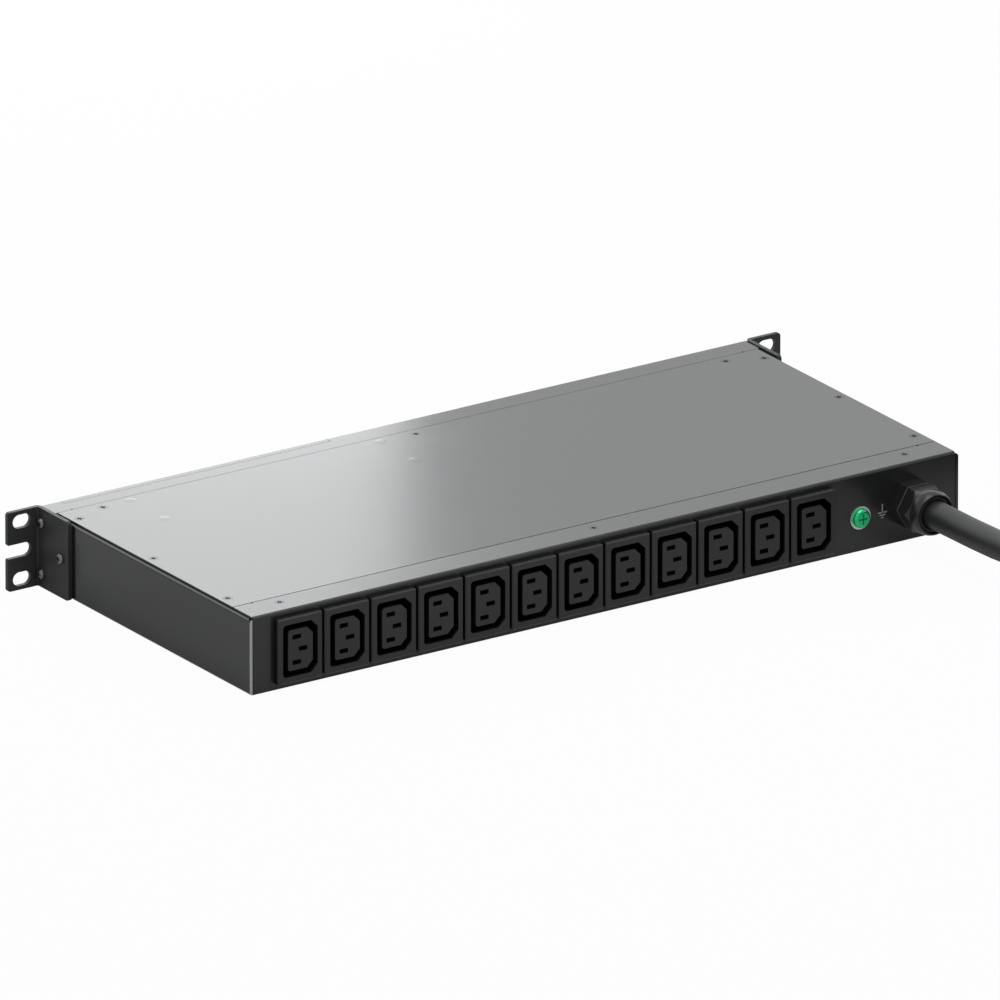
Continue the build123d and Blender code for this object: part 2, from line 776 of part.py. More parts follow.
# Earth screw through washer, panel and the earth bar's foot, with a nut behind
earth_seat = rear_plane(earth_x, earth_z)
earth_head_seat = rear_plane(earth_x, earth_z, body_depth + earth_washer_sheet)
with BuildPart() as earth_screw_model:
    with BuildSketch():
        Circle(earth_head / 2)
    extrude(amount=earth_head_height)
    fillet(earth_screw_model.edges().sort_by(Axis.Z)[-1], earth_head_rounding)
    with BuildSketch():
        Circle(earth_thread / 2)
    extrude(amount=-earth_screw_length)
    cross = cross_recess(earth_head_height, recess_share * earth_head)
    extrude(cross, amount=-earth_recess_depth, mode=Mode.SUBTRACT)

with BuildPart() as earth_screw:
    with Locations(earth_head_seat):
        add(earth_screw_model.part)
earth_screw.part.label = "earth_screw"
export_step(earth_screw.part, "parts/earth_screw.step")

with BuildPart() as earth_washer:
    with BuildSketch(earth_seat):
        Circle(earth_washer_width / 2)
        Circle(earth_thread / 2 + hole_clearance, mode=Mode.SUBTRACT)
    extrude(amount=earth_washer_sheet)
earth_washer.part.label = "earth_washer"
export_step(earth_washer.part, "parts/earth_washer.step")

with BuildPart() as earth_nut:
    with BuildSketch(rear_plane(earth_x, earth_z, earth_foot_front)):
        RegularPolygon(earth_nut_width / 2, 6, major_radius=False)
        Circle(earth_thread / 2 + thread_clearance, mode=Mode.SUBTRACT)
    extrude(amount=-earth_nut_height)
earth_nut.part.label = "earth_nut"
export_step(earth_nut.part, "parts/earth_nut.step")


def along_axis(across):
    """Plane that holds the axis of a turned piece: x is the radius and y runs along the axis."""
    return Plane(origin=across.origin, x_dir=across.x_dir, z_dir=-across.y_dir)


# Cable gland: a hexagon body screwed through the panel, a locknut inside, and a hexagon nut with a
# round collar that squeezes a rubber seal onto the cord.
gland_plane = rear_plane(gland_x, 0)
gland_axis = Axis(gland_plane.origin, gland_plane.z_dir)
gland_neck_radius = gland_neck / 2
with BuildPart() as gland_body:
    with BuildSketch(gland_plane):
        RegularPolygon(gland_hex / 2, 6, major_radius=False)
    extrude(amount=gland_body_length)
    chamfer(gland_body.faces().sort_by(Axis.Y)[-1].edges(), gland_edge)
    with BuildSketch(gland_plane.offset(gland_body_length)):
        Circle(gland_neck_radius)
    extrude(amount=gland_neck_end - gland_body_length)
    with BuildSketch(gland_plane):
        Circle(gland_thread / 2)
    extrude(amount=-gland_inner_end)
    with BuildSketch(gland_plane.offset(gland_neck_end)):
        Circle(gland_bore / 2)
    extrude(amount=-gland_neck_end - gland_inner_end, mode=Mode.SUBTRACT)
gland_body.part.label = "gland_body"
export_step(gland_body.part, "parts/gland_body.step")

gland_nut_start = gland_body_length + gland_nut_gap
gland_corner_radius = gland_hex / math.sqrt(3) + gland_corner_clearance
gland_bevel_end = gland_nut_start + gland_base_bevel
gland_nut_bore = gland_neck_radius + thread_clearance
with BuildPart() as gland_nut:
    with BuildSketch(gland_plane.offset(gland_nut_start)):
        RegularPolygon(gland_hex / 2, 6, major_radius=False)
    extrude(amount=gland_hex_end - gland_nut_start)
    # Both ends of the hexagon are turned to a cone, which leaves a scallop on each flat
    with BuildSketch(along_axis(gland_plane)):
        with BuildLine():
            Polyline(
                (0, gland_nut_start),
                (gland_hex / 2, gland_nut_start),
                (gland_corner_radius, gland_bevel_end),
                (gland_corner_radius, gland_cone_start),
                (collar_root, gland_hex_end),
                (0, gland_hex_end),
                close=True,
            )
        make_face()
    revolve(axis=gland_axis, mode=Mode.INTERSECT)
    # The round collar in front of it
    with BuildSketch(along_axis(gland_plane)):
        with BuildLine():
            Line((0, collar_start), (collar_root, collar_start))
            Line((collar_root, collar_start), (collar_radius, collar_full))
            ThreePointArc(
                (collar_radius, collar_full),
                (collar_shoulder_radius, collar_shoulder),
                (collar_end_radius, gland_nut_end),
            )
            Line((collar_end_radius, gland_nut_end), (0, gland_nut_end))
            Line((0, gland_nut_end), (0, collar_start))
        make_face()
    revolve(axis=gland_axis)
    # The bore widens towards the rim
    with BuildSketch(along_axis(gland_plane)):
        with BuildLine():
            Polyline(
                (0, gland_nut_start),
                (gland_nut_bore, gland_nut_start),
                (gland_nut_bore, gland_nut_end - gland_flare),
                (gland_rim_hole / 2, gland_nut_end),
                (0, gland_nut_end),
                close=True,
            )
        make_face()
    revolve(axis=gland_axis, mode=Mode.SUBTRACT)
gland_nut.part.label = "gland_nut"
export_step(gland_nut.part, "parts/gland_nut.step")

with BuildPart() as gland_seal:
    with BuildSketch(gland_plane.offset(gland_neck_end)):
        Circle(gland_nut_bore - thread_clearance)
        Circle(cord_diameter / 2 + cord_play, mode=Mode.SUBTRACT)
    extrude(amount=gland_seal_end - gland_neck_end)
    fillet(gland_seal.faces().sort_by(Axis.Y)[-1].edges(), gland_seal_corner)
gland_seal.part.label = "gland_seal"
export_step(gland_seal.part, "parts/gland_seal.step")

with BuildPart() as gland_locknut:
    with BuildSketch(rear_plane(gland_x, 0, panel_inner)):
        RegularPolygon(locknut_width / 2, 6, major_radius=False)
        Circle(gland_thread / 2 + thread_clearance, mode=Mode.SUBTRACT)
    extrude(amount=-locknut_height)
gland_locknut.part.label = "gland_locknut"
export_step(gland_locknut.part, "parts/gland_locknut.step")

# The cord leaves the gland straight to the rear. Each corner of its route is as round as its two
# runs allow.
cord_radius = cord_diameter / 2
coil_bottom = resting_level + tie_sheet
layer_levels = [coil_bottom + cord_radius + layer * cord_diameter for layer in range(coil_layers)]
cord_route = [
    (gland_x, sheath_end, 0.0),
    (gland_x, body_depth + cord_first_reach, 0.0),
    (gland_x - cord_drift, body_depth + cord_second_reach, layer_levels[1]),
    (gland_x - cord_far_drift, body_depth + cord_third_reach, layer_levels[1]),
]


def corner_radii(route):
    """0.45 of the shorter run at each corner, divided by the tangent of half its turn."""
    radii = []
    for before, here, after in zip(route, route[1:], route[2:]):
        first = Vector(*here) - Vector(*before)
        second = Vector(*after) - Vector(*here)
        half_turn = math.radians(first.get_angle(second)) / 2
        radii.append(0.45 * min(first.length, second.length) / math.tan(half_turn))
    return radii


cord_radii = corner_radii(cord_route)
print("cord corner radii:", [round(radius) for radius in cord_radii])
with BuildPart() as power_cord:
    with BuildLine():
        cord_path = FilletPolyline(*cord_route, radius=cord_radii)
    with BuildSketch(Plane(origin=cord_path @ 0, z_dir=cord_path % 0)):
        Circle(cord_radius)
    sweep(path=cord_path)
cord_section = math.pi * cord_radius**2
print("cord volume ratio:", round(power_cord.part.volume / (cord_section * cord_path.length), 4))
power_cord.part.label = "power_cord"
export_step(power_cord.part, "parts/power_cord.step")

# The rest of its length is put away in a tied coil, two turns wide and three high. The cord runs
# in along a tangent at the middle layer and out along the opposite one at the top.
coil_start = Vector(*cord_route[-1])
last_run = coil_start - Vector(*cord_route[-2])
heading = Vector(last_run.X, last_run.Y, 0).normalized()
inward = Vector(-heading.Y, heading.X, 0)
outer_turn_radius = (coil_middle_diameter + cord_diameter) / 2
coil_centre = coil_start + heading * entry_stub + inward * outer_turn_radius
coil_exit = coil_centre + inward * outer_turn_radius
coil_exit = Vector(coil_exit.X, coil_exit.Y, layer_levels[-1])
coil_height = coil_layers * cord_diameter + coil_slack
with BuildPart() as cord_coil:
    coil_foot = (coil_centre.X, coil_centre.Y, coil_bottom)
    with BuildSketch(Plane(origin=coil_foot, x_dir=(1, 0, 0), z_dir=(0, -1, 0))):
        with Locations((coil_middle_diameter / 2, coil_height / 2)):
            RectangleRounded(2 * cord_diameter + 2 * coil_slack, coil_height, coil_corner)
    revolve(axis=Axis((coil_centre.X, coil_centre.Y, 0), (0, 0, 1)))
    with BuildSketch(Plane(origin=coil_start, z_dir=heading)):
        Circle(cord_radius)
    extrude(amount=entry_stub)
    with BuildSketch(Plane(origin=coil_exit, z_dir=-heading)):
        Circle(cord_radius)
    extrude(amount=exit_stub)
cord_coil.part.label = "cord_coil"
export_step(cord_coil.part, "parts/cord_coil.step")

# Hook-and-loop tie round the turns on the side away from the unit
tie_centre = coil_centre + heading * (coil_middle_diameter / 2)
tie_foot = (tie_centre.X, tie_centre.Y, resting_level)
tie_outer_width = 2 * (cord_diameter + coil_slack + tie_sheet + tie_lap)
tie_outer_height = coil_height + 2 * tie_sheet + tie_lap
with BuildPart() as cord_tie:
    with BuildSketch(Plane(origin=tie_foot, x_dir=heading, z_dir=-inward)):
        with Locations((0, tie_outer_height / 2)):
            RectangleRounded(tie_outer_width, tie_outer_height, cord_radius)
    extrude(amount=tie_width / 2, both=True)
    add(cord_coil.part, mode=Mode.SUBTRACT)
cord_tie.part.label = "cord_tie"
export_step(cord_tie.part, "parts/cord_tie.step")

# Industrial plug lying beside the coil, with its collar on the ground
plug_axis_level = resting_level + plug_collar_radius
tail_start = coil_exit - heading * exit_stub
plug_entry = tail_start - heading * (tail_length - plug_thread_start)
plug_plane = Plane(origin=(plug_entry.X, plug_entry.Y, plug_axis_level), x_dir=(0, 0, 1), z_dir=-heading)
plug_axis = Axis(plug_plane.origin, plug_plane.z_dir)
plug_profile = along_axis(plug_plane)
plug_nut_bore = cord_radius + plug_nut_play

with BuildPart() as plug_nut:
    with BuildSketch(plug_profile):
        with BuildLine():
            Polyline(
                (plug_nut_bore, 0),
                (plug_thread_radius, 0),
                (plug_nut_radius, plug_nut_taper),
                (plug_nut_radius, plug_nut_length),
                (plug_thread_radius + thread_clearance, plug_nut_length),
                (plug_thread_radius + thread_clearance, plug_thread_start),
                (plug_nut_bore, plug_thread_start),
                close=True,
            )
        make_face()
    revolve(axis=plug_axis)
    with BuildSketch(plug_plane.offset(plug_nut_length)):
        with PolarLocations(plug_nut_radius + grip_groove_radius - grip_groove_depth, grip_groove_count):
            Circle(grip_groove_radius)
    extrude(amount=grip_groove_start - plug_nut_length, mode=Mode.SUBTRACT)
plug_nut.part.label = "plug_nut"
export_step(plug_nut.part, "parts/plug_nut.step")

plug_shoulder = plug_nut_length + plug_nut_gap
with BuildPart() as plug_body:
    with BuildSketch(plug_profile):
        with BuildLine():
            Line((0, plug_thread_start), (plug_thread_radius, plug_thread_start))
            Line((plug_thread_radius, plug_thread_start), (plug_thread_radius, plug_shoulder))
            Line((plug_thread_radius, plug_shoulder), (plug_shoulder_radius, plug_shoulder))
            ThreePointArc(
                (plug_shoulder_radius, plug_shoulder),
                (plug_waist_radius, plug_waist),
                (plug_body_radius, plug_body_end),
            )
            Line((plug_body_radius, plug_body_end), (0, plug_body_end))
            Line((0, plug_body_end), (0, plug_thread_start))
        make_face()
    revolve(axis=plug_axis)
plug_body.part.label = "plug_body"
export_step(plug_body.part, "parts/plug_body.step")

with BuildPart() as cord_tail:
    with BuildLine():
        tail_path = Line(tail_start, plug_plane.offset(plug_thread_start).origin)
    with BuildSketch(Plane(origin=tail_start, z_dir=tail_path % 0)):
        Circle(cord_radius)
    sweep(path=tail_path)
    for neighbour in (cord_coil, plug_nut, plug_body):
        add(neighbour.part, mode=Mode.SUBTRACT)
cord_tail.part.label = "cord_tail"
export_step(cord_tail.part, "parts/cord_tail.step")

plug_base_end = plug_body_end + plug_base
plug_pin_set = ((180, earth_pin_radius), (60, phase_pin_radius), (300, phase_pin_radius))
with BuildPart() as plug_shroud:
    with BuildSketch(plug_plane.offset(plug_body_end)):
        Circle(plug_collar_radius)
    extrude(amount=plug_collar)
    chamfer(plug_shroud.edges(), plug_edge)
    with BuildSketch(plug_plane.offset(plug_body_end)):
        Circle(shroud_radius)
        with Locations((shroud_radius, 0)):
            Rectangle(2 * key_height, key_width)
    extrude(amount=plug_length - plug_body_end)
    with BuildSketch(plug_plane.offset(plug_length)):
        Circle(shroud_radius - shroud_wall)
    extrude(amount=plug_base_end - plug_length, mode=Mode.SUBTRACT)
plug_shroud.part.label = "plug_shroud"
export_step(plug_shroud.part, "parts/plug_shroud.step")

with BuildPart() as plug_pins:
    for angle, pin_radius in plug_pin_set:
        with BuildSketch(plug_plane.offset(plug_base_end)):
            with PolarLocations(pin_circle, 1, start_angle=angle):
                Circle(pin_radius)
        extrude(amount=pin_length)
    pin_ends = plug_pins.faces().filter_by(plug_plane).sort_by(plug_axis)[-3:]
    chamfer(pin_ends.edges(), plug_edge)
plug_pins.part.label = "plug_pins"
export_step(plug_pins.part, "parts/plug_pins.step")

# Four pillars clinched into the cover carry a small board behind the fascia. Their faint round
# marks show on the cover's top.
board_top = ledge_top - standoff_height
with BuildPart() as board_standoffs:
    with BuildSketch(Plane.XY.offset(ledge_top)):
        with Locations(*standoff_points):
            RegularPolygon(standoff_width / 2, 6, major_radius=False)
            Circle(bracket_thread / 2 + thread_clearance, mode=Mode.SUBTRACT)
    extrude(amount=-standoff_height)
board_standoffs.part.label = "board_standoffs"
export_step(board_standoffs.part, "parts/board_standoffs.step")

with BuildPart() as control_board:
    with BuildSketch(Plane.XY.offset(board_top)):
        with Locations(((board_near_x + board_far_x) / 2, (board_front_y + board_rear_y) / 2)):
            RectangleRounded(
                board_far_x - board_near_x + 2 * board_margin,
                board_rear_y - board_front_y + 2 * board_margin,
                board_corner,
            )
        with Locations(*standoff_points):
            Circle(bracket_thread / 2 + hole_clearance, mode=Mode.SUBTRACT)
    extrude(amount=-board_sheet)
control_board.part.label = "control_board"
export_step(control_board.part, "parts/control_board.step")

with BuildPart() as board_screws:
    for x, y in standoff_points:
        with Locations(Plane(origin=(x, y, board_top - board_sheet), z_dir=(0, 0, -1))):
            add(pan_screw.part)
board_screws.part.label = "board_screws"
export_step(board_screws.part, "parts/board_screws.step")
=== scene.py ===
# %% [markdown]
# # A rack power distribution unit, seen from behind
#
# The unit is a flat black steel case, one rack unit high. Its rear panel holds twelve appliance
# outlets, an earth screw and a cable gland. Everything rigid comes ready-made from the CAD model
# and keeps its shape here. Blender adds what CAD leaves plain: the flexible cord, the tie round
# its coil, the printed earth sign, and the look of every material.

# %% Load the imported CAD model
import json
import math

import bmesh
import bpy
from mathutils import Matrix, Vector


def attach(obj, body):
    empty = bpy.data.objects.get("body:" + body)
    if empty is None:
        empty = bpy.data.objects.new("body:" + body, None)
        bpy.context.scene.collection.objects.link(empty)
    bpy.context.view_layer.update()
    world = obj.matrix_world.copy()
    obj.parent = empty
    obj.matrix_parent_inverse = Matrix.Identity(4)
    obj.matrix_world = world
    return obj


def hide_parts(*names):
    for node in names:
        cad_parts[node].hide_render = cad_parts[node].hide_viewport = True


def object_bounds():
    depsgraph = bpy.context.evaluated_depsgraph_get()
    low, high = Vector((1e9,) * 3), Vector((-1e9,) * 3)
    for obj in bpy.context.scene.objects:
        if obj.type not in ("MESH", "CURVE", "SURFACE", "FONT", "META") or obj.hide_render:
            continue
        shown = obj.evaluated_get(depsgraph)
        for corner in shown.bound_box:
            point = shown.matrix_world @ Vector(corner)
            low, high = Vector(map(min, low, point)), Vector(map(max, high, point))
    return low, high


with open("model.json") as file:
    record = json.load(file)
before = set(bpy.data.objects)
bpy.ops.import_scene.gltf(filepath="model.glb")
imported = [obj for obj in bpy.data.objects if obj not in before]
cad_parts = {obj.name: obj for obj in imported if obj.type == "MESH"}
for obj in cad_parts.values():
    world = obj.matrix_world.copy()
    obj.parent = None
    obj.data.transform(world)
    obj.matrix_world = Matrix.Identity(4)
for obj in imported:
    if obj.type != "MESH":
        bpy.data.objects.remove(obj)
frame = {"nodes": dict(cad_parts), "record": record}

low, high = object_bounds()
box_size = [round(1000 * (b - a), 1) for a, b in zip(low, high)]
print("nodes:", len(frame["nodes"]), "box in mm:", box_size)

# %% [markdown]
# ## The camera
#
# The photograph has no perspective: the far edges of the case are as long as the near ones. An
# orthographic camera would show that, but its width of view stays fixed, so it cuts the object off
# in views from other sides. A long lens 22 m away gives the same picture to about two pixels. A
# view from another side stands further back still, and its clipping ends at a set distance, so a
# longer lens would leave the object beyond that end, where nothing shows. The direction comes from
# the slopes of the case's edges in the picture, and the width of view from the rack ears, which
# are 482.6 mm from end to end.

# %% Camera far behind the unit, above its right rear corner
view_azimuth = math.radians(146.27)
view_elevation = math.radians(20.686)
view_width = 0.51755
camera_distance = 22.0
look_at = Vector((0.01766, 0.12595, 0.0213))

towards_camera = Vector((
    math.cos(view_elevation) * math.sin(view_azimuth),
    -math.cos(view_elevation) * math.cos(view_azimuth),
    math.sin(view_elevation),
))
camera_data = bpy.data.cameras.new("camera")
camera_data.sensor_width = 36.0
camera_data.lens = camera_data.sensor_width * camera_distance / view_width
camera_data.clip_start = 1.0
camera_data.clip_end = 200.0
camera = bpy.data.objects.new("camera", camera_data)
bpy.context.collection.objects.link(camera)
camera.location = look_at + camera_distance * towards_camera
camera.rotation_euler = (-towards_camera).to_track_quat("-Z", "Y").to_euler()
bpy.context.scene.camera = camera
print("lens in mm:", round(camera_data.lens))

# %% [markdown]
# ## The supply cord
#
# The cord is a three-core rubber cord, 15.6 mm thick and about 3 m long. It leaves the gland
# straight to the rear. What the photograph doesn't show of it is wound into a coil for storage:
# five and a half turns, two side by side and three on each other. One smooth NURBS curve makes
# the whole cord. Its control points are the corners of a route, so a quadratic spline rounds each
# corner by itself. The turns are a regular polygon of control points round the coil's centre.

# %% Sizes of the cord and its coil
cord_diameter = 0.0156
coil_layers = (-0.01263, 0.00297, 0.01857)
inner_turn, outer_turn = 0.0732, 0.0888
cord_route = [
    (-0.1893, 0.197, 0.0),
    (-0.1893, 0.272, 0.0),
    (-0.1914, 0.306, 0.00297),
    (-0.1919, 0.314, 0.00297),
]
stub_length = 0.054
tail_length = 0.042
plug_thread_start = 0.012
plug_axis_level = 0.01017
print("cord in mm:", 1000 * cord_diameter, "mean coil diameters in mm:", [
    round(2000 * radius, 1) for radius in (inner_turn, outer_turn)
])

# %% Where the coil lies
last_run = Vector(cord_route[-1]) - Vector(cord_route[-2])
heading = Vector((last_run.x, last_run.y, 0)).normalized()
inward = Vector((-heading.y, heading.x, 0))
coil_centre = Vector(cord_route[-1]) + heading * stub_length + inward * outer_turn
coil_centre.z = 0
start_angle = math.atan2(-inward.y, -inward.x)
print("coil centre in mm:", [round(1000 * c, 1) for c in coil_centre])

# %% [markdown]
# Each turn has a place in the stack, named by its radius and its level. The cord comes in on the
# outside at the middle height, which is the height of the gland. After each turn it shifts to the
# next place, and the last turn makes room first, so no turn passes through another.

# %% The stack of turns and where the cord shifts from one place to the next
stack = [
    (outer_turn, coil_layers[1]),
    (outer_turn, coil_layers[0]),
    (inner_turn, coil_layers[0]),
    (inner_turn, coil_layers[1]),
    (inner_turn, coil_layers[2]),
    (outer_turn, coil_layers[2]),
]
shifts = [(0.80, 0.97), (0.70, 0.94), (0.63, 0.83), (0.63, 0.83), (0.52, 0.76)]
coil_turns = 5.5
points_per_turn = 24


def place_in_stack(turn):
    """Radius and level of the cord after this many turns."""
    number = min(int(turn), len(shifts))
    radius, level = stack[number]
    if number < len(shifts):
        begin, end = shifts[number]
        share = min(max((turn - number - begin) / (end - begin), 0), 1)
        share = share * share * (3 - 2 * share)
        next_radius, next_level = stack[number + 1]
        radius += (next_radius - radius) * share
        level += (next_level - level) * share
    return radius, level


print("turns:", coil_turns, "shifts between places:", len(shifts))

# %% [markdown]
# The middle of each side of the polygon lies on the turn itself, so the corners stand a little
# outside it. The tail leaves the top layer straight, and drops to the height of the plug's axis.

# %% One open NURBS spline through the route, the turns and the tail
step = 2 * math.pi / points_per_turn
widen = 1 / math.cos(step / 2)
turn_points = []
for index in range(round(coil_turns * points_per_turn)):
    radius, level = place_in_stack((index + 0.5) / points_per_turn)
    angle = start_angle + (index + 0.5) * step
    radius *= widen
    turn_points.append((
        coil_centre.x + radius * math.cos(angle),
        coil_centre.y + radius * math.sin(angle),
        level,
    ))
tail_start = coil_centre + inward * outer_turn - heading * stub_length
plug_entry = tail_start - heading * (tail_length - plug_thread_start)
tail_end = plug_entry - heading * plug_thread_start
tail_points = [
    (tail_start.x, tail_start.y, coil_layers[2]),
    (plug_entry.x, plug_entry.y, plug_axis_level),
    (tail_end.x, tail_end.y, plug_axis_level),
]
cord_points = cord_route + turn_points + tail_points

cord_curve = bpy.data.curves.new("supply_cord", "CURVE")
cord_curve.dimensions = "3D"
cord_curve.bevel_depth = cord_diameter / 2
cord_curve.bevel_resolution = 6
cord_curve.resolution_u = 4
cord_curve.use_fill_caps = True
cord_spline = cord_curve.splines.new("NURBS")
cord_spline.points.add(len(cord_points) - 1)
for point, place in zip(cord_spline.points, cord_points):
    point.co = (*place, 1)
cord_spline.order_u = 3
cord_spline.use_endpoint_u = True
supply_cord = bpy.data.objects.new("supply_cord", cord_curve)
bpy.context.collection.objects.link(supply_cord)
cord_length = cord_spline.calc_length()
print("cord in m:", round(cord_length, 3), "points:", len(cord_points))

# %% [markdown]
# ## The tie round the coil
#
# A strip of hook-and-loop tape holds the turns. It is a flat strap, so it is built directly: a
# rounded frame round the six turns, swept by its width. The loose end laps over the top and down
# the inner side, nearly two thirds of the way round, as a second layer that is a little narrower.

# %% Sizes of the strap and its profile round the turns
tie_width = 0.016
lap_width = 0.015
tape_thickness = 0.0011
lap_rise = 1.9 * tape_thickness
strap_gap = 0.0001
strap_slack = 0.0004
corner_steps = 8
edge_round = 0.0003
bundle_half_width = cord_diameter + strap_slack
bundle_bottom = coil_layers[0] - cord_diameter / 2 - strap_gap
bundle_top = coil_layers[2] + cord_diameter / 2 + strap_slack
corner = 0.0066


def strap_profile(distance_out):
    """Points round the bundle, this far outside it, from the middle of the outer side."""
    half = bundle_half_width + distance_out
    bottom = bundle_bottom - distance_out
    top = bundle_top + distance_out
    round_corner = corner + distance_out
    corners = [(half, top, 0), (-half, top, 90), (-half, bottom, 180), (half, bottom, 270)]
    points = [(half, (top + bottom) / 2)]
    for x, z, first in corners:
        cx = x - math.copysign(round_corner, x)
        cz = z - round_corner if z == top else z + round_corner
        for part in range(corner_steps + 1):
            angle = math.radians(first + 90 * part / corner_steps)
            points.append((
                cx + round_corner * math.cos(angle),
                cz + round_corner * math.sin(angle),
            ))
    points.append(points[0])
    return points


inner_loop = strap_profile(strap_gap)
outer_loop = strap_profile(strap_gap + tape_thickness)
tape_round = sum(math.dist(a, b) for a, b in zip(inner_loop, inner_loop[1:]))
print("tape round the turns in mm:", round(1000 * tape_round))

# %% The strap's mesh, with its lapped end
tie_place = coil_centre + heading * ((inner_turn + outer_turn) / 2)


def strap_mesh(name, inner, outer, width):
    """Closed band between two profiles, of this width across the strap."""
    mesh = bmesh.new()
    columns = []
    for (ix, iz), (ox, oz) in zip(inner, outer):
        corners = []
        for x, z, side in ((ix, iz, -1), (ox, oz, -1), (ox, oz, 1), (ix, iz, 1)):
            place = tie_place + heading * x + inward * (side * width / 2)
            corners.append(mesh.verts.new((place.x, place.y, z)))
        columns.append(corners)
    for first, second in zip(columns, columns[1:]):
        for i in range(4):
            j = (i + 1) % 4
            mesh.faces.new((first[i], first[j], second[j], second[i]))
    mesh.faces.new(columns[0][::-1])
    mesh.faces.new(columns[-1])
    bmesh.ops.recalc_face_normals(mesh, faces=mesh.faces)
    data = bpy.data.meshes.new(name)
    mesh.to_mesh(data)
    mesh.free()
    piece = bpy.data.objects.new(name, data)
    bpy.context.collection.objects.link(piece)
    bevel = piece.modifiers.new("soft_edges", "BEVEL")
    bevel.width = edge_round
    bevel.segments = 2
    return piece


tie_band = strap_mesh("tie_band", inner_loop, outer_loop, tie_width)
lap_end = 2 * (corner_steps + 1) + 2
lap_inner = outer_loop[:lap_end]
lap_outer = strap_profile(strap_gap + lap_rise)[:lap_end]
tie_lap = strap_mesh("tie_lap", lap_inner, lap_outer, lap_width)
print("tie faces:", len(tie_band.data.polygons), "and", len(tie_lap.data.polygons))

# %% [markdown]
# ## The earth sign
#
# Beside the green screw the panel carries the general earth sign in pale grey print: a stem on
# three bars that get shorter downwards. Print is almost flat, so each stroke is a thin plate with
# rounded ends, only a few hundredths of a millimetre proud of the paint.

# %% Strokes of the sign
sign_centre = Vector((-0.1727, 0.198, -0.0021))
sign_width = 0.0059
sign_height = 0.0074
stroke = 0.00075
round_steps = 6
print_thickness = 0.00004
top_bar_drop = 0.0008
bar_pitch = 0.0014
bar_shares = (1.0, 0.64, 0.28)


def add_stroke(mesh, start, end):
    """Flat bar with round ends between two points (across, up) on the panel."""
    along = Vector(end) - Vector(start)
    direction = math.atan2(along.y, along.x)
    outline = []
    for place, first in ((end, direction - math.pi / 2), (start, direction + math.pi / 2)):
        for part in range(round_steps + 1):
            angle = first + math.pi * part / round_steps
            outline.append((
                place[0] + stroke / 2 * math.cos(angle),
                place[1] + stroke / 2 * math.sin(angle),
            ))
    lower, upper = [[
        mesh.verts.new((sign_centre.x - across, sign_centre.y + proud, sign_centre.z + up))
        for across, up in outline
    ] for proud in (0, print_thickness)]
    mesh.faces.new(lower)
    mesh.faces.new(upper)
    for i in range(len(outline)):
        j = (i + 1) % len(outline)
        mesh.faces.new((lower[i], lower[j], upper[j], upper[i]))


sign_mesh = bmesh.new()
bar_levels = [-top_bar_drop - bar_pitch * number for number in range(len(bar_shares))]
for level, share in zip(bar_levels, bar_shares):
    half = share * sign_width / 2 - stroke / 2
    add_stroke(sign_mesh, (-half, level), (half, level))
add_stroke(sign_mesh, (0, sign_height / 2), (0, bar_levels[0]))
bmesh.ops.recalc_face_normals(sign_mesh, faces=sign_mesh.faces)
sign_data = bpy.data.meshes.new("earth_sign")
sign_mesh.to_mesh(sign_data)
sign_mesh.free()
earth_sign = bpy.data.objects.new("earth_sign", sign_data)
bpy.context.collection.objects.link(earth_sign)
print("earth sign faces:", len(sign_data.polygons))

# %% [markdown]
# ## Materials
#
# Every finish is one material built from nodes. Most start from the same helper: a base colour
# that varies a little through noise, a roughness that varies with it, and a fine bump. The noise
# reads object coordinates, which are metres here, so the grain has its true size on every piece.

# %% Helper: a surface with slightly uneven colour, gloss and relief
grains_per_blotch = 12
blotch_low, blotch_high = 0.3, 0.7
gloss_low, gloss_high = 0.92, 1.08
# A colour mix has its share at input 0, its two colours at 6 and 7, and the result at output 2.
mix_share, mix_first, mix_second, mix_out = 0, 6, 7, 2


def uneven_surface(name, color, roughness, grain_size, relief, metallic=0.0, spread=0.12, ior=1.5):
    """A Principled surface. grain_size is in metres and relief is the bump's depth in metres."""
    material = bpy.data.materials.new(name)
    material.use_nodes = True
    nodes, links = material.node_tree.nodes, material.node_tree.links
    shader = nodes["Principled BSDF"]
    shader.inputs["Metallic"].default_value = metallic
    shader.inputs["IOR"].default_value = ior
    place = nodes.new("ShaderNodeTexCoord")
    blotches = nodes.new("ShaderNodeTexNoise")
    blotches.inputs["Scale"].default_value = 1 / (grains_per_blotch * grain_size)
    blotches.inputs["Detail"].default_value = 4
    links.new(place.outputs["Object"], blotches.inputs["Vector"])
    tint = nodes.new("ShaderNodeMix")
    tint.data_type = "RGBA"
    tint.inputs[mix_first].default_value = (*[c * (1 - spread) for c in color], 1)
    tint.inputs[mix_second].default_value = (*[min(c * (1 + spread), 1) for c in color], 1)
    links.new(blotches.outputs["Fac"], tint.inputs[mix_share])
    links.new(tint.outputs[mix_out], shader.inputs["Base Color"])
    gloss = nodes.new("ShaderNodeMapRange")
    gloss.inputs["From Min"].default_value = blotch_low
    gloss.inputs["From Max"].default_value = blotch_high
    gloss.inputs["To Min"].default_value = roughness * gloss_low
    gloss.inputs["To Max"].default_value = roughness * gloss_high
    links.new(blotches.outputs["Fac"], gloss.inputs["Value"])
    links.new(gloss.outputs["Result"], shader.inputs["Roughness"])
    grain = nodes.new("ShaderNodeTexNoise")
    grain.inputs["Scale"].default_value = 1 / grain_size
    grain.inputs["Detail"].default_value = 2
    links.new(place.outputs["Object"], grain.inputs["Vector"])
    bump = nodes.new("ShaderNodeBump")
    bump.inputs["Distance"].default_value = relief
    links.new(grain.outputs["Fac"], bump.inputs["Height"])
    links.new(bump.outputs["Normal"], shader.inputs["Normal"])
    return material


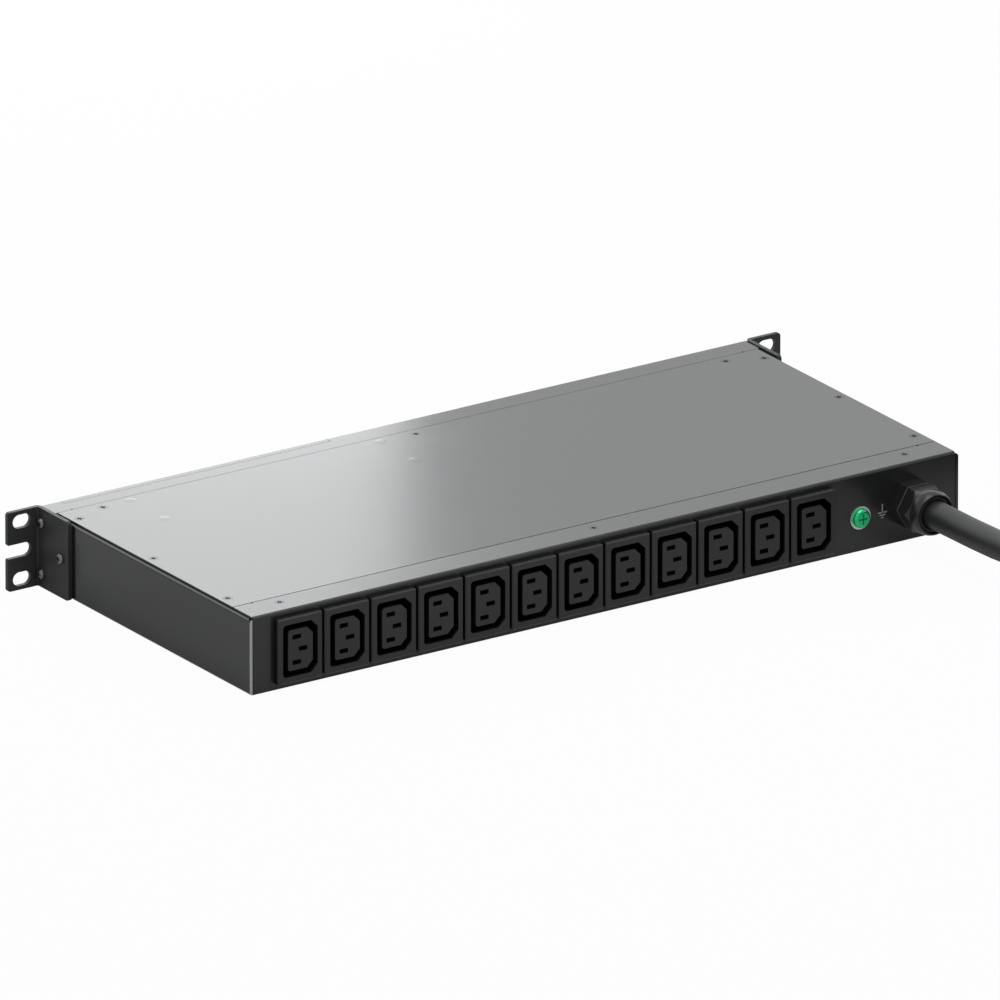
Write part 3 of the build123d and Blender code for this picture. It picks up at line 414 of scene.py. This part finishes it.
# %% [markdown]
# The case is satin black powder coat. The powder melts into a skin with a faint orange peel, so
# the bump is broad and very shallow. The mouldings are duller, with the fine grain of a
# spark-eroded mould. Metal parts get their colour from the metal itself.

# %% One material for each finish: slot, name, colour, roughness, grain, relief, metal
finishes = {}
for slot, name, color, roughness, grain_size, relief, metallic in (
    ("black_steel", "powder_coat", (0.014, 0.0145, 0.0155), 0.17, 0.0018, 0.000003, 0),
    ("fascia_plastic", "fascia_moulding", (0.014, 0.014, 0.015), 0.2, 0.0005, 0.000004, 0),
    ("black_screws", "black_zinc", (0.03, 0.03, 0.032), 0.3, 0.0006, 0.00001, 0.6),
    ("outlet_plastic", "outlet_moulding", (0.012, 0.012, 0.013), 0.4, 0.0005, 0.00002, 0),
    ("contact_brass", "contact_brass", (0.72, 0.6, 0.34), 0.32, 0.0008, 0.00001, 1),
    ("bar_copper", "bar_copper", (0.78, 0.5, 0.34), 0.35, 0.001, 0.00001, 1),
    ("brown_insulation", "brown_insulation", (0.2, 0.09, 0.04), 0.4, 0.0006, 0.00001, 0),
    ("blue_insulation", "blue_insulation", (0.05, 0.17, 0.5), 0.4, 0.0006, 0.00001, 0),
    ("zinc_steel", "bright_zinc", (0.66, 0.67, 0.68), 0.28, 0.0006, 0.00001, 1),
    ("green_screw", "green_enamel", (0.03, 0.62, 0.24), 0.2, 0.0009, 0.00006, 0.7),
    ("gland_plastic", "gland_polyamide", (0.016, 0.016, 0.017), 0.3, 0.0005, 0.00001, 0),
    ("seal_rubber", "seal_rubber", (0.01, 0.01, 0.01), 0.6, 0.0005, 0.00001, 0),
    ("cord_rubber", "cord_sheath", (0.012, 0.0125, 0.013), 0.5, 0.0007, 0.00002, 0),
    ("plug_grey", "plug_grey_moulding", (0.3, 0.31, 0.33), 0.4, 0.0005, 0.00002, 0),
    ("plug_blue", "plug_blue_moulding", (0.03, 0.14, 0.5), 0.36, 0.0005, 0.00002, 0),
    ("pin_brass", "nickelled_pins", (0.72, 0.68, 0.55), 0.25, 0.0006, 0.00001, 1),
    ("board_green", "board_laminate", (0.03, 0.2, 0.08), 0.3, 0.0006, 0.00001, 0),
):
    finishes[slot] = uneven_surface(name, color, roughness, grain_size, relief, metallic)
print("finishes:", len(finishes))

# %% [markdown]
# The earth core is striped green and yellow along its length. It lies nearly flat, so bands that
# are stacked in height run along it. They are a wave texture, cut hard by a ramp.

# %% Green and yellow insulation
striped = uneven_surface("striped_insulation", (0.35, 0.5, 0.05), 0.4, 0.0006, 0.00001)
nodes, links = striped.node_tree.nodes, striped.node_tree.links
wave = nodes.new("ShaderNodeTexWave")
wave.wave_type = "BANDS"
wave.bands_direction = "Z"
wave.inputs["Scale"].default_value = 90
stripe_ramp = nodes.new("ShaderNodeValToRGB")
stripe_ramp.color_ramp.interpolation = "CONSTANT"
stripe_ramp.color_ramp.elements[0].color = (0.02, 0.3, 0.03, 1)
stripe_ramp.color_ramp.elements[1].position = 0.5
stripe_ramp.color_ramp.elements[1].color = (0.75, 0.6, 0.02, 1)
stripe_place = nodes.new("ShaderNodeTexCoord")
links.new(stripe_place.outputs["Object"], wave.inputs["Vector"])
links.new(wave.outputs["Fac"], stripe_ramp.inputs["Fac"])
links.new(stripe_ramp.outputs["Color"], nodes["Principled BSDF"].inputs["Base Color"])
finishes["green_yellow_insulation"] = striped
print("stripes on the earth core:", striped.name)

# %% [markdown]
# Hook-and-loop tape is a woven strip with a low nap. Two crossed wave textures give the weave
# its ribs, and sheen gives the soft edge of the nap.

# %% Woven tape
tape = uneven_surface("woven_tape", (0.02, 0.02, 0.021), 0.8, 0.0004, 0.00008)
nodes, links = tape.node_tree.nodes, tape.node_tree.links
tape_shader = nodes["Principled BSDF"]
tape_shader.inputs["Sheen Weight"].default_value = 0.3
weave_place = nodes.new("ShaderNodeTexCoord")
ribs = []
for direction in ("X", "Z"):
    rib = nodes.new("ShaderNodeTexWave")
    rib.bands_direction = direction
    rib.inputs["Scale"].default_value = 220
    links.new(weave_place.outputs["Object"], rib.inputs["Vector"])
    ribs.append(rib)
weave = nodes.new("ShaderNodeMath")
weave.operation = "MULTIPLY"
links.new(ribs[0].outputs["Fac"], weave.inputs[0])
links.new(ribs[1].outputs["Fac"], weave.inputs[1])
weave_bump = nodes.new("ShaderNodeBump")
weave_bump.inputs["Distance"].default_value = 0.0002
links.new(weave.outputs["Value"], weave_bump.inputs["Height"])
links.new(weave_bump.outputs["Normal"], tape_shader.inputs["Normal"])
finishes["tie_fabric"] = tape
print("ribs of the weave:", len(ribs))

# %% [markdown]
# The earth sign is printed in a pale grey ink, which is duller than the paint round it.

# %% Pale print of the earth sign
sign_print = uneven_surface("pale_print", (0.42, 0.43, 0.44), 0.5, 0.0003, 0.000005)
print("ink of the sign:", sign_print.name)

# %% [markdown]
# ## The cover's marks
#
# Four pillars are clinched into the cover from below. They leave faint round marks in the paint.
# Discs drawn by distance in the cover's own copy of the powder coat show them without geometry.

# %% Witness marks in the cover's paint
cover_coat = finishes["black_steel"].copy()
cover_coat.name = "cover_coat"
nodes, links = cover_coat.node_tree.nodes, cover_coat.node_tree.links
mark_columns = (0.02165, 0.17685)
mark_rows = (0.020, 0.052)
mark_level = 0.0213
mark_radius = 0.0024
mark_fade = 0.0004
mark_place = nodes.new("ShaderNodeTexCoord")
marks = None
for mark_x in mark_columns:
    for mark_y in mark_rows:
        from_mark = nodes.new("ShaderNodeVectorMath")
        from_mark.operation = "DISTANCE"
        from_mark.inputs[1].default_value = (mark_x, mark_y, mark_level)
        links.new(mark_place.outputs["Object"], from_mark.inputs[0])
        disc = nodes.new("ShaderNodeMapRange")
        disc.inputs["From Min"].default_value = mark_radius + mark_fade
        disc.inputs["From Max"].default_value = mark_radius
        links.new(from_mark.outputs["Value"], disc.inputs["Value"])
        if marks is None:
            marks = disc.outputs["Result"]
        else:
            both = nodes.new("ShaderNodeMath")
            both.operation = "MAXIMUM"
            links.new(marks, both.inputs[0])
            links.new(disc.outputs["Result"], both.inputs[1])
            marks = both.outputs["Value"]
old_bump = nodes["Bump"]
mark_bump = nodes.new("ShaderNodeBump")
mark_bump.inputs["Distance"].default_value = 0.00004
links.new(marks, mark_bump.inputs["Height"])
links.new(old_bump.outputs["Normal"], mark_bump.inputs["Normal"])
links.new(mark_bump.outputs["Normal"], nodes["Principled BSDF"].inputs["Normal"])
print("marks on the cover:", len(mark_columns) * len(mark_rows))

# %% [markdown]
# The ears are coated with a coarser powder than the case, so they mirror their surroundings less,
# and so is the rear panel. Their black is also paler than the case's, which is painted light: a
# lit copy of the same paint. The ears' screws are brighter than the cover's, which lie flush.

# %% Coats of the ears, their screws and the rear panel
# Painted light: the ears' and the rear panel's black is a paler copy of the case's paint.
ear_coat = uneven_surface("ear_coat", (0.05, 0.051, 0.053), 0.5, 0.0009, 0.000006, ior=1.35)
ear_screw_zinc = uneven_surface(
    "ear_screw_zinc", (0.2, 0.2, 0.205), 0.24, 0.0006, 0.00001, metallic=0.8
)
rear_coat = uneven_surface("rear_coat", (0.02, 0.0205, 0.0215), 0.26, 0.0018, 0.000003)
print("coats of their own:", ear_coat.name, ear_screw_zinc.name, rear_coat.name)

# %% [markdown]
# Two finishes change with the place, and both are painted light. A thin pale line down the case's
# rear corner is a painted highlight. And the outlets' grooves are so deep and narrow that hardly
# any light comes back out of them, so a blacker tint inside them is painted shade.
# Both are a tint that starts at a given place, so a ramp over a coordinate gives it.

# %% A second tint beyond a given place
def tint_beyond(material, limits, color):
    """Mix color into a material past the given places: (axis, start, end) for each, in metres."""
    nodes, links = material.node_tree.nodes, material.node_tree.links
    place = nodes.new("ShaderNodeTexCoord")
    axes = nodes.new("ShaderNodeSeparateXYZ")
    links.new(place.outputs["Object"], axes.inputs["Vector"])
    share = None
    for axis, start, end in limits:
        ramp = nodes.new("ShaderNodeMapRange")
        ramp.inputs["From Min"].default_value = start
        ramp.inputs["From Max"].default_value = end
        links.new(axes.outputs[axis], ramp.inputs["Value"])
        if share is None:
            share = ramp.outputs["Result"]
        else:
            both = nodes.new("ShaderNodeMath")
            both.operation = "MULTIPLY"
            links.new(share, both.inputs[0])
            links.new(ramp.outputs["Result"], both.inputs[1])
            share = both.outputs["Value"]
    tint = nodes.new("ShaderNodeMix")
    tint.data_type = "RGBA"
    tint.inputs[mix_second].default_value = (*color, 1)
    shader = nodes["Principled BSDF"]
    links.new(shader.inputs["Base Color"].links[0].from_socket, tint.inputs[mix_first])
    links.new(share, tint.inputs[mix_share])
    links.new(tint.outputs[mix_out], shader.inputs["Base Color"])


# Painted highlight: a thin pale line down the case's rear corner, on the +X side only.
corner_line = [("Y", 0.19785, 0.19795), ("X", 0.2184, 0.2188)]
painted_corner_highlight = (0.62, 0.62, 0.63)
# Painted shade: below their faces, the outlets' grooves are tinted near black.
in_grooves = [("Y", 0.2008, 0.1998)]
painted_groove_shade = (0.002, 0.002, 0.002)
case_coat = finishes["black_steel"].copy()
case_coat.name = "case_coat"
tint_beyond(case_coat, corner_line, painted_corner_highlight)
tint_beyond(finishes["outlet_plastic"], in_grooves, painted_groove_shade)
print("case corner and outlet grooves tinted")

# %% [markdown]
# The record names a finish for every node. A few nodes have a coat of their own instead, as told
# above.

# %% Paint every CAD node with its finish
own_coats = {
    "top_cover": cover_coat,
    "chassis_tray": case_coat,
    "left_bracket": ear_coat,
    "right_bracket": ear_coat,
    "left_bracket_screws": ear_screw_zinc,
    "right_bracket_screws": ear_screw_zinc,
    "rear_panel": rear_coat,
}
slots = {part["node"]: part["material_slot"] for part in frame["record"]["subparts"]}
for node, piece in frame["nodes"].items():
    material = own_coats.get(node, finishes[slots[node]])
    piece.data.materials.clear()
    piece.data.materials.append(material)
print("painted nodes:", len(slots))

# %% [markdown]
# The added pieces belong to the one body of the unit. The smooth cord takes the place of the three
# CAD pieces that stand for it, and the strap takes the place of the plain tie.

# %% Give the added pieces their place and finish
for piece, slot, material in (
    (supply_cord, "cord_rubber", finishes["cord_rubber"]),
    (tie_band, "tie_fabric", tape),
    (tie_lap, "tie_fabric", tape),
    (earth_sign, "black_steel", sign_print),
):
    piece.data.materials.append(material)
    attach(piece, "root")
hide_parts("power_cord", "cord_coil", "cord_tail")
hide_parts("cord_tie")

# %% [markdown]
# ## Floor and light
#
# The photograph has a plain white ground. The floor is matt white, and a camera ray sees it
# brightened nearly to white, so that only the contact shadow stays. The cover is black paint seen
# at a low angle, where even black paint mirrors what lies beyond it. Large soft boxes beyond the
# front of the unit are what makes it pale.

# %% How much white a ray from the camera or from a mirror sees
def seen_share(nodes, links, camera, mirror):
    """The larger of the shares for camera, glossy and transmission rays. Other rays get none."""
    ray = nodes.new("ShaderNodeLightPath")
    seen = None
    for kind, share in (
        ("Is Camera Ray", camera),
        ("Is Glossy Ray", mirror),
        ("Is Transmission Ray", mirror),
    ):
        part_seen = nodes.new("ShaderNodeMath")
        part_seen.operation = "MULTIPLY"
        part_seen.inputs[1].default_value = share
        links.new(ray.outputs[kind], part_seen.inputs[0])
        if seen is None:
            seen = part_seen.outputs["Value"]
        else:
            larger = nodes.new("ShaderNodeMath")
            larger.operation = "MAXIMUM"
            links.new(seen, larger.inputs[0])
            links.new(part_seen.outputs["Value"], larger.inputs[1])
            seen = larger.outputs["Value"]
    return seen


# %% White floor that keeps the shadow
floor_level = -0.02183
floor_mesh = bpy.data.meshes.new("floor")
floor_half = 6.0
floor_mesh.from_pydata(
    [
        (-floor_half, -floor_half, floor_level),
        (floor_half, -floor_half, floor_level),
        (floor_half, floor_half, floor_level),
        (-floor_half, floor_half, floor_level),
    ],
    [],
    [(0, 1, 2, 3)],
)
floor = bpy.data.objects.new("floor", floor_mesh)
bpy.context.collection.objects.link(floor)
floor_paint = bpy.data.materials.new("floor_paint")
floor_paint.use_nodes = True
nodes, links = floor_paint.node_tree.nodes, floor_paint.node_tree.links
floor_shader = nodes["Principled BSDF"]
floor_shader.inputs["Base Color"].default_value = (0.8, 0.8, 0.8, 1)
floor_shader.inputs["Roughness"].default_value = 0.9
floor_shader.inputs["IOR"].default_value = 1.2
white = nodes.new("ShaderNodeEmission")
white.inputs["Strength"].default_value = 1.0
blend = nodes.new("ShaderNodeMixShader")
seen = seen_share(nodes, links, camera=0.97, mirror=0.3)
links.new(seen, blend.inputs["Fac"])
links.new(floor_shader.outputs["BSDF"], blend.inputs[1])
links.new(white.outputs["Emission"], blend.inputs[2])
links.new(blend.outputs["Shader"], nodes["Material Output"].inputs["Surface"])
floor_mesh.materials.append(floor_paint)
print("floor at mm:", 1000 * floor_level)

# %% [markdown]
# The room is white too. The camera sees it as pure white, a glossy surface mirrors a little less
# of it, and as a source of light it is weak, so that the soft boxes shape the shadows.

# %% White surroundings
world = bpy.data.worlds.new("white_room")
bpy.context.scene.world = world
world.use_nodes = True
nodes, links = world.node_tree.nodes, world.node_tree.links
room = nodes["Background"]
room.inputs["Color"].default_value = (1, 1, 1, 1)
room.inputs["Strength"].default_value = 0.2
seen_room = nodes.new("ShaderNodeBackground")
seen_room.inputs["Color"].default_value = (1, 1, 1, 1)
seen_room.inputs["Strength"].default_value = 1.0
seen = seen_share(nodes, links, camera=1.0, mirror=0.75)
choose = nodes.new("ShaderNodeMixShader")
links.new(seen, choose.inputs["Fac"])
links.new(room.outputs["Background"], choose.inputs[1])
links.new(seen_room.outputs["Background"], choose.inputs[2])
links.new(choose.outputs["Shader"], nodes["World Output"].inputs["Surface"])
print("world:", world.name)

# %% [markdown]
# Five soft boxes light the unit. The back wall stands beyond it and is what the whole cover
# mirrors. The bright box and the bright edge stand nearer than the wall, and are the pale patch on
# the cover's left half and its soft end towards the middle. The side box lights the side wall, and
# the top box the rear panel, the outlets and the cord from above. Their places are given as seen
# in the picture: so far to the right of its middle, so far beyond the unit, and so high.

# %% Soft boxes
daylight = (0.972, 0.995, 1.0)


def soft_box(name, place, aim, width, height, radiance):
    """Rectangular lamp that faces aim. radiance is its own brightness, where 1 is white."""
    lamp = bpy.data.lights.new(name, "AREA")
    lamp.shape = "RECTANGLE"
    lamp.size = width
    lamp.size_y = height
    lamp.energy = radiance * math.pi * width * height
    lamp.color = daylight
    box = bpy.data.objects.new(name, lamp)
    bpy.context.collection.objects.link(box)
    box.location = place
    box.rotation_euler = (Vector(aim) - Vector(place)).to_track_quat("-Z", "Y").to_euler()


away = Vector((-math.sin(view_azimuth), math.cos(view_azimuth), 0))
across = Vector((math.cos(view_azimuth), math.sin(view_azimuth), 0))


def in_view(right, beyond, height):
    """Point right of the picture's middle, beyond the unit, and this high."""
    middle = across * look_at.dot(across)
    return middle + across * right + away * beyond + Vector((0, 0, height))


# Each has a name, a place, a point to face, a width, a height and a radiance.
soft_box("back_wall", in_view(0, 2.0, 0.85), in_view(0, 0, 0.1), 3.2, 1.7, 0.74)
soft_box("bright_box", in_view(-0.402, 1.0, 0.38), in_view(-0.402, 0, 0.38), 0.7, 0.7, 1.95)
soft_box("bright_edge", in_view(-0.155, 0.9, 0.16), in_view(-0.155, 0, 0.16), 0.2, 0.4, 1.6)
soft_box("side_box", in_view(-1.35, 0.8, 0.95), (0.1, 0.1, 0), 0.8, 0.8, 1.8)
soft_box("top_box", in_view(0.3, -0.2, 2.0), (0, 0.1, 0), 1.6, 1.6, 2.2)

# %% [markdown]
# ## Finish
#
# The picture shows colours as they are, without a film curve.

# %% Plain colours on the screen
bpy.context.scene.view_settings.view_transform = "Standard"
print("view transform:", bpy.context.scene.view_settings.view_transform)
